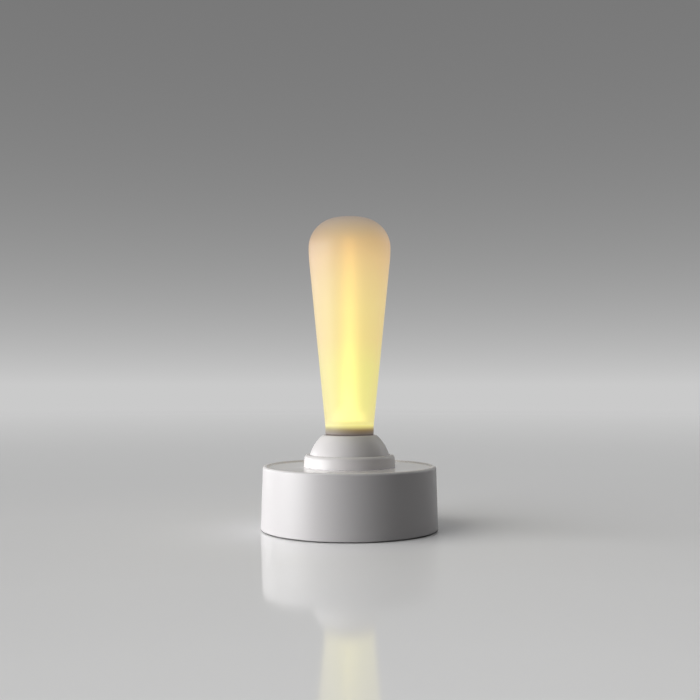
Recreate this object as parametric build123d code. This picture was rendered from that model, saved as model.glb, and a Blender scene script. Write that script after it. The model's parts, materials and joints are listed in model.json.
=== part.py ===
from build123d import *
import os
from math import acos, atan2, cos, hypot, pi, radians, sin, sqrt

# A cordless night light shaped like a games joystick. A round base holds three AAA cells. A ball
# joint in its middle carries a glowing silicone stick, which rocks sideways and fore and aft and
# presses one of four switches at each limit. A spring brings it back upright.
# Millimetres, +Z up, front towards -Y. The origin is on the table under the middle of the base.

# Clearances, each used by every fit of its kind
running_gap = 0.05        # pin in a bore that turns, button in its switch, screw in its pilot hole
press_gap = 0.02          # pin held in the hub
part_gap = 0.1            # two fixed pieces side by side
lid_gap = 0.2             # battery door in its opening
ball_gap = 0.25           # ball in its collar

# Cells and their bay
cell_diameter = 10.5
cell_length = 44.5
cell_button_radius = 2.75
cell_button_height = 1.0
cell_spacing = 0.4        # free width between two cells
cell_side_gap = 0.4       # free width between an outer cell and the bay wall
cell_lower_gap = 0.3      # cells over the door
cell_count = 3
contact_thickness = 0.4
contact_size = 9.0        # height and width of one contact plate
contact_spring_length = 4.5
contact_spring_wire = 0.5
contact_spring_turns = 3
tab_width = 3.0
tab_rise = 2.3            # solder tab over the main board's face
bay_wall = 1.5
bay_corner_round = 1.0
roof_thickness = 1.0
rib_width = 3.0
rib_depth = 1.4

# Cover and door
cover_thickness = 1.6
cover_play = 0.2          # cover in the housing's seat
door_ledge = 0.8          # width on which the door closes against the bay walls
door_ear_radius = 3.2
door_boss_rim = 0.5       # door screw boss beyond its ear's opening
door_boss_height = 5.7
finger_notch_length = 9.0
finger_notch_width = 1.6
finger_notch_depth = 0.8

# Feet
foot_stand = 0.3          # how far a foot stands out under the cover
foot_thickness = 1.2
foot_radius = 3.5
foot_round = 0.3
foot_circle = 31.3

# Housing
bay_margin = 2.62         # from the bay's corner to the housing's inner wall
wall = 2.0
side_taper = 0.8          # the foot's radius less the rim's
rim_width = 1.8
rim_round = 1.0
recess_depth = 0.4
recess_slope = 0.6        # width of the recess's sloping side
recess_round = 1.0
foot_edge_round = 0.5
deck_thickness = 2.0
boss_radius = 3.0
boss_overlap = 0.2        # how far a boss sinks into the wall beside it

# Main board and switches
board_pad_height = 0.3
board_pad_radius = 1.5
board_pad_x = 19.5
board_pad_y = 12.0
board_thickness = 0.8
board_margin = 0.8
board_post_radius = 2.2
board_post_x = 11.0
switch_size = 4.5
switch_height = 2.5
button_radius = 1.2
button_rise = 0.7
button_stem = 1.2         # length of a button inside its switch
button_travel = 0.25
connector_length = 4.0
connector_width = 5.0
connector_height = 2.2
connector_circle = 17.6   # radius at which the wires enter the connector
component_circle = 20.5   # middle of the large components
small_component_circle = 22.0
control_chip_size = (4.0, 5.0, 1.4)
driver_size = (3.0, 3.0, 1.2)
capacitor_radius = 2.0
capacitor_height = 2.4
small_component_size = (1.2, 2.0, 0.9)

# Ball joint
tilt_limit = 15.0         # degrees each way
button_clearance = 0.2    # left between a peg and its button at the limit
ball_radius = 17.5
ball_wall = 1.8
ball_ledge = 1.04         # flat top of the ball outside the stick's neck
ball_drop = 3.4           # from the pivot to the lower edge
ball_edge_round = 2.0
peg_radius = 1.1
peg_drop = 4.0            # from the pivot to the tip of a peg
peg_margin = 0.2          # from a peg's tip to the ball's sphere
deck_below_pivot = 0.05
collar_height = 5.1
collar_wall = 1.6         # at the deck
collar_taper = 0.25       # the collar's radius at the deck less its radius at the top
collar_round = 1.5
collar_lip_round = 0.3
skirt_wall = 1.0
skirt_depth = 3.9         # collar under the deck's face
hook_width = 8.0
hook_reach = 0.85
hook_count = 3

# Gimbal
pin_radius = 1.5
pin_overhang = 0.2
ear_inner = 4.2           # from the middle to an ear's inner face
ear_thickness = 2.5
ear_half_width = 2.6
hub_play = 0.1
hub_height = 6.0
hub_corner = 1.4
post_radius = 5.0
post_flange_margin = 1.4  # between the post's foot flange and a switch
post_screw_margin = 0.23  # between a screw head and the flange's edge
post_flange_thickness = 2.0
seat_thickness = 1.5
yoke_plate_thickness = 2.0
yoke_lip_root = 0.8
spring_radius = 9.3       # middle of the wire
spring_wire = 0.9
spring_turns = 6
spring_end_gap = 0.05
lip_gap = 0.25
lip_width = 1.0
lip_height = 1.0

# Stick
shade_height = 92.9
neck_radius = 10.25
neck_band = 3.4           # straight height of the neck
shade_wall = 2.0
crown_radius = 34.0       # the three arcs of the head, from its top down
shoulder_radius = 12.8
belt_radius = 60.0
bead_depth = 0.45
bead_height = 1.0
bead_rise = 2.0           # from the neck's foot to the bead
holder_height = 5.8
led_board_thickness = 1.0
led_count = 3
led_size = 2.8
led_thickness = 0.7
led_circle = 3.4
guide_lamp_gap = 0.3      # light guide's cup beside and over the lamps
guide_foot_margin = 0.3   # from the guide's foot to the lamp board's edge
guide_foot_height = 1.6
guide_root_height = 6.0   # over the lamp board, where the guide's foot becomes its rod
guide_root_radius = 3.2
guide_tip_radius = 2.0
guide_top_gap = 6.5       # from the guide's tip to the shade's inner top

# Wires
wire_radius = 0.5
wire_bend = 2.0
led_wire_circle = 6.5
led_wire_direction = -45.0
led_wire_spread = 6.0     # degrees each side of their direction
wire_hole_gap = 0.15
lead_rise = 1.5           # battery lead over the main board
lead_length = 3.5
lead_bend = 1.3

# Screws
cover_screw_radius = 1.0
cover_screw_length = 10.0
cover_head_radius = 2.2
cover_head_height = 1.2
door_screw_radius = 0.9
door_screw_length = 6.0
door_head_radius = 1.9
door_head_height = 1.1
small_screw_radius = 0.7
small_head_radius = 1.5
small_head_height = 1.1
board_screw_length = 5.0
post_screw_length = 4.0
stick_screw_circle = 6.6
stick_screw_grip = 4.0
cross_width = 0.45
cross_depth = 0.6
pilot_spare = 0.3         # pilot hole beyond the screw's end

# Heights, from the table up
cover_top = foot_stand + cover_thickness
cell_axis = cover_top + cell_lower_gap + cell_diameter / 2
roof_bottom = cell_axis + cell_diameter / 2 + part_gap
roof_top = roof_bottom + roof_thickness
board_bottom = roof_top + board_pad_height
board_top = board_bottom + board_thickness
switch_top = board_top + switch_height
button_top = switch_top + button_rise
peg_tip_height = peg_drop - peg_radius
peg_circle = sqrt(ball_radius**2 - peg_tip_height**2) - peg_radius - peg_margin
swing_down = peg_circle * sin(radians(tilt_limit)) + peg_tip_height * cos(radians(tilt_limit))
pivot = button_top + button_clearance + swing_down + peg_radius
deck_top = pivot - deck_below_pivot
deck_bottom = deck_top - deck_thickness
rim_top = deck_top + recess_depth
collar_top = deck_top + collar_height
skirt_bottom = deck_top - skirt_depth
ball_rise = sqrt(ball_radius**2 - (neck_radius + ball_ledge) ** 2)
ball_top = pivot + ball_rise
yoke_plate_bottom = ball_top - ball_wall - yoke_plate_thickness
wire_run = roof_top + post_flange_thickness + wire_radius + part_gap
seat_bottom = wire_run + wire_bend
seat_top = seat_bottom + seat_thickness
holder_top = ball_top + holder_height
led_board_bottom = holder_top - led_board_thickness
shade_top = ball_top + shade_height
guide_top = shade_top - shade_wall - guide_top_gap
door_thickness = cover_thickness - part_gap
cover_screw_tip = foot_stand + cover_screw_length

# Widths
cell_pitch = cell_diameter + cell_spacing
bay_length = cell_length + 2 * contact_thickness + contact_spring_length
bay_width = cell_diameter + (cell_count - 1) * cell_pitch + 2 * cell_side_gap
inner_radius = hypot(bay_length / 2 + bay_wall, bay_width / 2 + bay_wall) + bay_margin
rim_radius = inner_radius + wall
base_radius = rim_radius + side_taper
cover_radius = inner_radius + wall / 2 - cover_play
cover_seat_radius = cover_radius + cover_play
boss_circle = inner_radius - boss_radius + boss_overlap
ear_opening_radius = door_ear_radius + lid_gap
door_boss_radius = ear_opening_radius + door_boss_rim
door_boss_y = bay_width / 2 + door_boss_radius + part_gap
board_post_y = bay_width / 2 + bay_wall + board_post_radius - boss_overlap
board_radius = hypot(board_post_x, board_post_y) + board_post_radius + board_margin
switch_circle = peg_circle * cos(radians(tilt_limit)) - peg_tip_height * sin(radians(tilt_limit))
collar_inner_radius = ball_radius + ball_gap
collar_radius = collar_inner_radius + collar_wall
skirt_radius = collar_inner_radius + skirt_wall
deck_opening_radius = skirt_radius + part_gap
seat_lip_inner = spring_radius + spring_wire / 2 + lip_gap
seat_radius = seat_lip_inner + lip_width
post_flange_radius = switch_circle - switch_size / 2 - post_flange_margin
post_screw_circle = post_flange_radius - small_head_radius - post_screw_margin
post_screw_x = sqrt(post_screw_circle**2 - (cell_pitch / 2) ** 2)
board_hole_radius = post_flange_radius + 3 * part_gap
ball_inner_radius = ball_radius - ball_wall
head_radius = ball_radius               # the stick's head is as wide as the ball
ear_outer = ear_inner + ear_thickness
pin_reach = ear_outer + pin_overhang
hub_half = ear_inner - hub_play
holder_radius = neck_radius - shade_wall - running_gap
holder_groove_radius = holder_radius - bead_depth
led_recess_radius = holder_radius - lip_width
led_board_radius = led_recess_radius - part_gap
led_width = 1.2 * led_size
guide_foot_radius = led_board_radius - guide_foot_margin
guide_cup_radius = hypot(led_circle + led_size / 2, led_width / 2) + guide_lamp_gap
small_pilot_radius = small_screw_radius + running_gap

UP = (Align.CENTER, Align.CENTER, Align.MIN)
quarter_places = [0, 90, 180, 270]
corner_places = [45, 135, 225, 315]
corner_signs = [(1, 1), (-1, 1), (-1, -1), (1, -1)]
post_screw_signs = corner_signs[:3]     # the lamp wires pass where a fourth would be


def around(angle, radius, height=0.0):
    """A place on a circle round the part's axis."""
    return Pos(radius * cos(radians(angle)), radius * sin(radians(angle)), height)


def cylinder(radius, low, high):
    return Pos(0, 0, low) * Cylinder(radius, high - low, align=UP)


def block(length, width, low, high):
    return Pos(0, 0, low) * Box(length, width, high - low, align=UP)


def turned(*lines):
    """A solid of revolution from a closed outline of radius and height."""
    edges = [edge for line in lines for edge in line.edges()]
    return revolve(Plane.XZ * make_face(edges), axis=Axis.Z)


def on_sphere(radius, height):
    """The radius, seen from the axis, of a sphere about the pivot at a height over the pivot."""
    return sqrt(radius**2 - height**2)


def sphere_arc(radius, start_height, end_height):
    """The arc of a sphere about the pivot between two heights over the pivot."""
    heights = [start_height, (start_height + end_height) / 2, end_height]
    return ThreePointArc(*[(on_sphere(radius, h), pivot + h) for h in heights])


def cross_slot(depth, width):
    """Cross recess for a screwdriver, cut down from z = 0."""
    bar = Pos(0, 0, -depth / 2) * Box(width, cross_width, depth)
    return bar + Rot(0, 0, 90) * bar


def pan_screw(radius, head_radius, head_height, length):
    """Pan head screw that points down, with the underside of its head at z = 0."""
    head = cylinder(head_radius, 0, head_height)
    head = fillet(head.faces().sort_by(Axis.Z)[-1].edges(), head_height * 0.4)
    head -= Pos(0, 0, head_height) * cross_slot(cross_depth, head_radius * 1.1)
    return head + cylinder(radius, -length, 0)


def flat_screw(radius, head_radius, head_height, length):
    """Countersunk screw that points up, with the face of its head at z = 0."""
    head = Cone(head_radius, radius, head_height, align=UP)
    slot = Rot(180, 0, 0) * cross_slot(cross_depth, head_radius * 1.2)
    return head + cylinder(radius, 0, length) - slot


def flat_screw_hole(radius, head_radius, head_height, depth):
    """The hole for a countersunk screw, from z = 0 up."""
    gap = running_gap
    sink = Cone(head_radius + gap, radius + gap, head_height, align=UP)
    return sink + cylinder(radius + gap, 0, depth)


def biarc(start, start_way, end, end_way):
    """Two arcs that meet smoothly and join two points with a given direction at each."""
    reach, sum_of_ways = end - start, start_way + end_way
    a = 2 - 2 * start_way.dot(end_way)
    b = reach.dot(sum_of_ways)
    handle = (sqrt(b * b + a * reach.dot(reach)) - b) / a
    first, second = start + start_way * handle, end - end_way * handle
    middle = (first + second) * 0.5
    return [
        TangentArc(start, middle, tangent=start_way),
        TangentArc(middle, end, tangent=second - first),
    ]


def coil(start_radius, end_radius, length, turns, wire):
    """A helical spring that climbs from z = 0, measured at the middle of its wire."""
    steps = turns * 4
    whole = turns * 2 * pi

    def place(step):
        angle, share = step * pi / 2, step / steps
        radius = start_radius + (end_radius - start_radius) * share
        shrink = (end_radius - start_radius) / whole
        spot = Vector(radius * cos(angle), radius * sin(angle), length * share)
        way = Vector(
            shrink * cos(angle) - radius * sin(angle),
            shrink * sin(angle) + radius * cos(angle),
            length / whole,
        )
        return spot, way.normalized()

    path = Curve()
    for step in range(steps):
        path += biarc(*place(step), *place(step + 1))
    spot, way = place(0)
    section = Plane(origin=spot, z_dir=way) * Circle(wire / 2)
    return sweep(section, path=path)


def wire_slot(low, high):
    """Rounded slot through which both lamp wires pass."""
    spread = 2 * led_wire_circle * sin(radians(led_wire_spread))
    slot = SlotCenterToCenter(spread, 2 * (wire_radius + wire_hole_gap), rotation=90)
    return Rot(0, 0, led_wire_direction) * Pos(led_wire_circle, 0, low) * extrude(slot, high - low)


def stick_screw_holes(radius, low, high):
    holes = [around(a, stick_screw_circle) * cylinder(radius, low, high) for a in (45, 225)]
    return holes[0] + holes[1]


def base_housing():
    """Turned outer shell with its rim, sunken deck and four screw bosses."""
    rim_inner = rim_radius - rim_width
    corners = [
        (deck_opening_radius, deck_bottom, 0),
        (inner_radius, deck_bottom, 0),
        (inner_radius, cover_top, 0),
        (cover_seat_radius, cover_top, 0),
        (cover_seat_radius, foot_stand, 0),
        (base_radius, foot_stand, foot_edge_round),
        (rim_radius, rim_top, rim_round),
        (rim_inner, rim_top, recess_round),
        (rim_inner - recess_slope, deck_top, recess_round),
        (deck_opening_radius, deck_top, 0),
    ]
    outline = FilletPolyline(*[c[:2] for c in corners], radius=[c[2] for c in corners], close=True)
    shell = turned(outline)
    for angle in corner_places:
        shell += around(angle, boss_circle) * cylinder(boss_radius, cover_top, deck_bottom)
        pilot = cylinder(cover_screw_radius + running_gap, cover_top, cover_screw_tip + pilot_spare)
        shell -= around(angle, boss_circle) * pilot
    return shell


def bay_outline(margin):
    return RectangleRounded(bay_length + 2 * margin, bay_width + 2 * margin, bay_corner_round)


def door_outline(gap):
    """The door's outline with its two screw ears, grown by a gap."""
    shape = bay_outline(door_ledge - lid_gap + gap)
    for side in (1, -1):
        shape += Pos(0, side * door_boss_y) * Circle(door_ear_radius + gap)
        neck = Rectangle(2 * (door_ear_radius + gap), door_boss_y)
        shape += Pos(0, side * door_boss_y / 2) * neck
    return shape


def base_cover():
    """Bottom plate that carries the battery bay, the posts of the main board and the feet."""
    shape = cylinder(cover_radius, foot_stand, cover_top)
    shape += Pos(0, 0, cover_top) * extrude(bay_outline(bay_wall), roof_top - cover_top)
    for side in (1, -1):
        top = cover_top + door_boss_height
        shape += Pos(0, side * door_boss_y) * cylinder(door_boss_radius, cover_top, top)
    for x, y in corner_signs:
        post = cylinder(board_post_radius, cover_top, board_bottom)
        shape += Pos(x * board_post_x, y * board_post_y) * post
        pad = cylinder(board_pad_radius, roof_top, board_bottom)
        shape += Pos(x * board_pad_x, y * board_pad_y) * pad
    shape -= Pos(0, 0, cover_top) * extrude(bay_outline(0), roof_bottom - cover_top)
    shape -= Pos(0, 0, foot_stand) * extrude(door_outline(lid_gap), cover_thickness)

    # Ribs that part the cells and take the screws of the pivot post
    for line in range(cell_count - 1):
        y = (line - (cell_count - 2) / 2) * cell_pitch
        rib = block(bay_length - 2 * contact_spring_length, rib_width, roof_bottom - rib_depth, roof_bottom)
        shape += Pos(0, y, 0) * rib

    for angle in corner_places:
        hole = flat_screw_hole(cover_screw_radius, cover_head_radius, cover_head_height, cover_thickness)
        shape -= around(angle, boss_circle, foot_stand) * hole
    for angle in quarter_places:
        shape -= around(angle, foot_circle) * cylinder(foot_radius + part_gap, 0, foot_thickness)
    for x, y in corner_signs:
        pilot = cylinder(small_pilot_radius, board_bottom - board_screw_length, board_bottom)
        shape -= Pos(x * board_post_x, y * board_post_y) * pilot
    for x, y in post_screw_signs:
        low = roof_top + post_flange_thickness - post_screw_length
        pilot = cylinder(small_pilot_radius, low, roof_top)
        shape -= Pos(x * post_screw_x, y * cell_pitch / 2) * pilot
    for side in (1, -1):
        high = foot_stand + door_screw_length + pilot_spare
        pilot = cylinder(door_screw_radius + running_gap, cover_top, high)
        shape -= Pos(0, side * door_boss_y) * pilot
        slot = block(contact_thickness + lid_gap, tab_width + lid_gap, roof_bottom, roof_top)
        x = side * (bay_length - contact_thickness - lid_gap) / 2
        shape -= Pos(x, side * (cell_count - 1) / 2 * cell_pitch, 0) * slot
    return shape


def cover_screws():
    screw = flat_screw(cover_screw_radius, cover_head_radius, cover_head_height, cover_screw_length)
    return [around(angle, boss_circle, foot_stand) * screw for angle in corner_places]


def rubber_feet():
    foot = cylinder(foot_radius, 0, foot_thickness)
    foot = fillet(foot.faces().sort_by(Axis.Z)[0].edges(), foot_round)
    return [around(angle, foot_circle) * foot for angle in quarter_places]


def battery_door():
    """Door under the cells, held by two captive screws in its ears."""
    door = Pos(0, 0, foot_stand) * extrude(door_outline(0), door_thickness)
    for side in (1, -1):
        hole = flat_screw_hole(door_screw_radius, door_head_radius, door_head_height, door_thickness)
        door -= Pos(0, side * door_boss_y, foot_stand) * hole
        notch = block(finger_notch_width, finger_notch_length, foot_stand, foot_stand + finger_notch_depth)
        door -= Pos(side * (bay_length / 2 - 2 * finger_notch_width), 0, 0) * notch
    return door


def door_screws():
    screw = flat_screw(door_screw_radius, door_head_radius, door_head_height, door_screw_length)
    return [Pos(0, side * door_boss_y, foot_stand) * screw for side in (1, -1)]


def cell_line(number):
    """The side-to-side place of a cell, and the end that its raised contact faces."""
    return (number - (cell_count - 1) / 2) * cell_pitch, 1 if number % 2 == 0 else -1


def battery_cell(number):
    """Dry cell along X, with its raised contact at one end and its flat end on a spring."""
    y, way = cell_line(number)
    shell_length = cell_length - cell_button_height
    shell = cylinder(cell_diameter / 2, 0, shell_length)
    shell = fillet(shell.edges().filter_by(GeomType.CIRCLE), 0.4)
    shell += cylinder(cell_button_radius, shell_length, cell_length)
    tip = way * (bay_length / 2 - contact_thickness)
    return Pos(tip, y, cell_axis) * Rot(0, way * 90, 0) * Pos(0, 0, -cell_length) * shell


def battery_springs():
    """Cone springs that push each cell against the contact at its other end."""
    springs = []
    wire = contact_spring_wire
    length = contact_spring_length - wire - 2 * spring_end_gap
    for number in range(cell_count):
        y, way = cell_line(number)
        spring = coil(contact_size * 0.4, contact_size * 0.25, length, contact_spring_turns, wire)
        root = -way * (bay_length / 2 - contact_thickness - wire / 2 - spring_end_gap)
        springs.append(Pos(root, y, cell_axis) * Rot(0, way * 90, 0) * spring)
    return springs


def contact_plates(end):
    """Plates at one end of the bay: one joins two cells and the other has the solder tab."""
    x = end * (bay_length - contact_thickness) / 2
    low = cell_axis - contact_size / 2
    edge = end * (cell_count - 1) / 2 * cell_pitch
    single = Pos(x, edge, 0) * block(contact_thickness, contact_size, low, low + contact_size)
    tab = block(contact_thickness, tab_width, low + contact_size, board_top + tab_rise)
    link = block(contact_thickness, contact_size + cell_pitch, low, low + contact_size)
    return [single + Pos(x, edge, 0) * tab, Pos(x, -end * cell_pitch / 2, 0) * link]


def battery_lead(end):
    """Short wire from a solder tab to the main board."""
    x = bay_length / 2 - contact_thickness
    high = board_top + lead_rise
    points = [(x, 0, high), (x - lead_length, 0, high), (x - lead_length, 0, board_top)]
    path = FilletPolyline(*points, radius=lead_bend)
    wire = sweep(Plane(origin=points[0], z_dir=(-1, 0, 0)) * Circle(wire_radius), path=path)
    y = (cell_count - 1) / 2 * cell_pitch
    return Rot(0, 0, 0 if end > 0 else 180) * Pos(0, y, 0) * wire


def main_board():
    board = cylinder(board_radius, board_bottom, board_top)
    board -= cylinder(board_hole_radius, board_bottom, board_top)
    for x, y in corner_signs:
        hole = cylinder(small_pilot_radius, board_bottom, board_top)
        board -= Pos(x * board_post_x, y * board_post_y) * hole
    return board


def board_screws():
    length = board_thickness + board_screw_length - pilot_spare
    screw = pan_screw(small_screw_radius, small_head_radius, small_head_height, length)
    return [Pos(x * board_post_x, y * board_post_y, board_top) * screw for x, y in corner_signs]


def switch_bodies():
    """Four press switches, one under each peg of the ball."""
    body = block(switch_size, switch_size, 0, switch_height)
    body = chamfer(body.faces().sort_by(Axis.Z)[-1].edges(), 0.2)
    hole_bottom = switch_height - button_stem - button_travel - part_gap
    body -= cylinder(button_radius + running_gap, hole_bottom, switch_height)
    return [around(a, switch_circle, board_top) * Rot(0, 0, a) * body for a in quarter_places]


def switch_button(angle):
    button = cylinder(button_radius, -button_stem, button_rise)
    button = fillet(button.faces().sort_by(Axis.Z)[-1].edges(), 0.2)
    return around(angle, switch_circle, switch_top) * button


def board_components():
    """Control chip, driver, storage capacitor and a few small parts outside the ball's reach."""
    def component(size, angle, circle):
        length, width, height = size
        return around(angle, circle, board_top) * Rot(0, 0, angle) * block(length, width, 0, height)

    pieces = [
        component(control_chip_size, 135, component_circle),
        component(driver_size, 45, component_circle),
        around(225, component_circle, board_top) * cylinder(capacitor_radius, 0, capacitor_height),
    ]
    for angle in (6, 18, 162, 174, 186, 198):
        pieces.append(component(small_component_size, angle, small_component_circle))
    return pieces


def led_connector():
    """Socket on the main board where the lamp wires end."""
    x = connector_circle + connector_length / 2
    socket = Pos(x, 0, board_top) * block(connector_length, connector_width, 0, connector_height)
    return Rot(0, 0, led_wire_direction) * socket


def collar_ring():
    """Fixed ring round the ball, with a skirt through the deck and snap hooks under it."""
    lip = collar_top - pivot
    path = FilletPolyline(
        (collar_inner_radius, skirt_bottom),
        (skirt_radius, skirt_bottom),
        (skirt_radius, deck_top),
        (collar_radius, deck_top),
        (collar_radius - collar_taper, collar_top),
        (on_sphere(collar_inner_radius, lip), collar_top),
        radius=[0, 0, 0, collar_round],
    )
    inner = Line((collar_inner_radius, pivot), (collar_inner_radius, skirt_bottom))
    ring = turned(path, sphere_arc(collar_inner_radius, lip, 0), inner)
    lip_edge = ring.edges().filter_by(GeomType.CIRCLE).group_by(Axis.Z)[-1].sort_by(SortBy.RADIUS)[0]
    ring = fillet(lip_edge, collar_lip_round)
    band = cylinder(skirt_radius + hook_reach, skirt_bottom, deck_bottom - running_gap)
    band -= cylinder(skirt_radius - hook_reach / 2, skirt_bottom, deck_bottom)
    for number in range(hook_count):
        side = Rot(0, 0, 90 + number * 360 / hook_count)
        ring += side * (band & Pos(collar_radius, 0, pivot) * Box(collar_radius, hook_width, pivot))
    return ring


def ball_dome():
    """Hollow ball, cut flat at its top, with four pegs that press the switches."""
    ceiling = ball_rise - ball_wall
    ball = turned(
        sphere_arc(ball_radius, ball_rise, -ball_drop),
        Line(
            (on_sphere(ball_radius, ball_drop), pivot - ball_drop),
            (on_sphere(ball_inner_radius, ball_drop), pivot - ball_drop),
        ),
        sphere_arc(ball_inner_radius, -ball_drop, ceiling),
        Line((on_sphere(ball_inner_radius, ceiling), pivot + ceiling), (0, pivot + ceiling)),
        Line((0, pivot + ceiling), (0, ball_top)),
        Line((0, ball_top), (on_sphere(ball_radius, ball_rise), ball_top)),
    )
    ball = fillet(ball.faces().sort_by(Axis.Z)[-1].edges(), ball_edge_round)
    for angle in quarter_places:
        peg = cylinder(peg_radius, pivot - peg_tip_height, pivot)
        peg += Pos(0, 0, pivot - peg_tip_height) * Sphere(peg_radius)
        ball += around(angle, peg_circle) * peg
    ball -= wire_slot(pivot + ceiling, ball_top)
    ball -= stick_screw_holes(small_pilot_radius, pivot + ceiling, ball_top)
    return ball


def ears(root):
    """Two ears on the X line, from the pivot to the height where they join their flange."""
    low, high = min(root, pivot), max(root, pivot)
    pair = []
    for side in (1, -1):
        x = side * (ear_inner + ear_thickness / 2)
        leg = Pos(x, 0, 0) * block(ear_thickness, 2 * ear_half_width, low, high)
        end = Pos(x, 0, pivot) * Rot(0, 90, 0) * Cylinder(ear_half_width, ear_thickness)
        pair.append(leg + end)
    bore = Pos(0, 0, pivot) * Rot(0, 90, 0) * Cylinder(pin_radius + running_gap, 2 * pin_reach)
    return pair[0] + pair[1] - bore


def stick_yoke():
    """Plate under the ball's flat top, with a lip round the spring and two ears on the pin."""
    top = ball_top - ball_wall
    plate_radius = on_sphere(ball_inner_radius, top - pivot) - ball_gap
    lip_low = yoke_plate_bottom - lip_height
    lip_high = yoke_plate_bottom + yoke_lip_root
    plate = cylinder(plate_radius, yoke_plate_bottom, top) + cylinder(seat_radius, lip_low, lip_high)
    plate -= cylinder(seat_lip_inner, lip_low, yoke_plate_bottom)
    plate += ears(yoke_plate_bottom)
    plate -= wire_slot(yoke_plate_bottom, top)
    plate -= stick_screw_holes(small_pilot_radius, yoke_plate_bottom, top)
    return plate


def pivot_post():
    """Post on the bay's roof: foot flange, column, spring seat with its lip, and two ears."""
    flange_top = roof_top + post_flange_thickness
    post = cylinder(post_flange_radius, roof_top, flange_top)
    post += cylinder(post_radius, flange_top, seat_bottom)
    seat = cylinder(seat_radius, seat_bottom, seat_top + lip_height)
    seat -= cylinder(seat_lip_inner, seat_top, seat_top + lip_height)
    post += seat
    post += Rot(0, 0, 90) * ears(seat_top)
    post -= wire_slot(seat_bottom, seat_top)
    for x, y in post_screw_signs:
        hole = cylinder(small_pilot_radius, roof_top, flange_top)
        post -= Pos(x * post_screw_x, y * cell_pitch / 2) * hole
    return post


def post_screws():
    length = post_screw_length - pilot_spare
    screw = pan_screw(small_screw_radius, small_head_radius, small_head_height, length)
    high = roof_top + post_flange_thickness
    return [Pos(x * post_screw_x, y * cell_pitch / 2, high) * screw for x, y in post_screw_signs]


def gimbal_hub():
    """Block between the four ears, with a cross bore for the pins."""
    hub = Box(2 * hub_half, 2 * hub_half, hub_height)
    hub = chamfer(hub.edges().filter_by(Axis.Z), hub_corner)
    bore = Rot(0, 90, 0) * Cylinder(pin_radius + press_gap, 2 * hub_half)
    return Pos(0, 0, pivot) * (hub - bore - Rot(0, 0, 90) * bore)


def fore_aft_pin():
    return Pos(0, 0, pivot) * Rot(0, 90, 0) * Cylinder(pin_radius, 2 * pin_reach)


def sideways_pins():
    """Two short pins, one each side of the long pin that crosses between them."""
    inner_end = pin_radius + part_gap
    pins = []
    for side in (1, -1):
        pin = Rot(-90 * side, 0, 0) * cylinder(pin_radius, inner_end, pin_reach)
        pins.append(Pos(0, 0, pivot) * pin)
    return pins


def centring_spring():
    room = yoke_plate_bottom - seat_top - spring_wire - 2 * spring_end_gap
    spring = coil(spring_radius, spring_radius, room, spring_turns, spring_wire)
    return Pos(0, 0, seat_top + spring_wire / 2 + spring_end_gap) * spring


def led_holder():
    """Plug on the ball's flat top that grips the shade's neck bead and carries the lamp board."""
    groove_low = ball_top + bead_rise - running_gap
    groove_high = groove_low + bead_height + 2 * running_gap
    plug = cylinder(holder_radius, ball_top, holder_top)
    ring = cylinder(holder_radius, groove_low, groove_high)
    plug -= ring - cylinder(holder_groove_radius, groove_low, groove_high)
    plug -= cylinder(led_recess_radius, led_board_bottom, holder_top)
    plug -= wire_slot(ball_top, led_board_bottom)
    plug -= stick_screw_holes(small_pilot_radius, ball_top, ball_top + stick_screw_grip + pilot_spare)
    return plug


def stick_screws():
    length = yoke_plate_thickness + ball_wall + stick_screw_grip
    screw = Rot(180, 0, 0) * pan_screw(small_screw_radius, small_head_radius, small_head_height, length)
    return [around(a, stick_screw_circle, yoke_plate_bottom) * screw for a in (45, 225)]


def led_board():
    return cylinder(led_board_radius, led_board_bottom, holder_top)


def led_chips():
    chips = []
    for number in range(led_count):
        angle = 90 + number * 360 / led_count
        chip = block(led_size, led_width, 0, led_thickness)
        chips.append(around(angle, led_circle, holder_top) * Rot(0, 0, angle) * chip)
    return chips


def light_guide():
    """Clear tapered rod that carries the lamps' light up the stick, with a cup foot over them."""
    cup_top = holder_top + led_thickness + guide_lamp_gap
    tip_centre = guide_top - guide_tip_radius
    walls = Polyline(
        (0, cup_top),
        (guide_cup_radius, cup_top),
        (guide_cup_radius, holder_top),
        (guide_foot_radius, holder_top),
        (guide_foot_radius, holder_top + guide_foot_height),
        (guide_root_radius, holder_top + guide_root_height),
        (guide_tip_radius, tip_centre),
    )
    middle = guide_tip_radius * sqrt(0.5)
    tip = ThreePointArc((guide_tip_radius, tip_centre), (middle, tip_centre + middle), (0, guide_top))
    return turned(walls, tip, Line((0, guide_top), (0, cup_top)))


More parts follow.
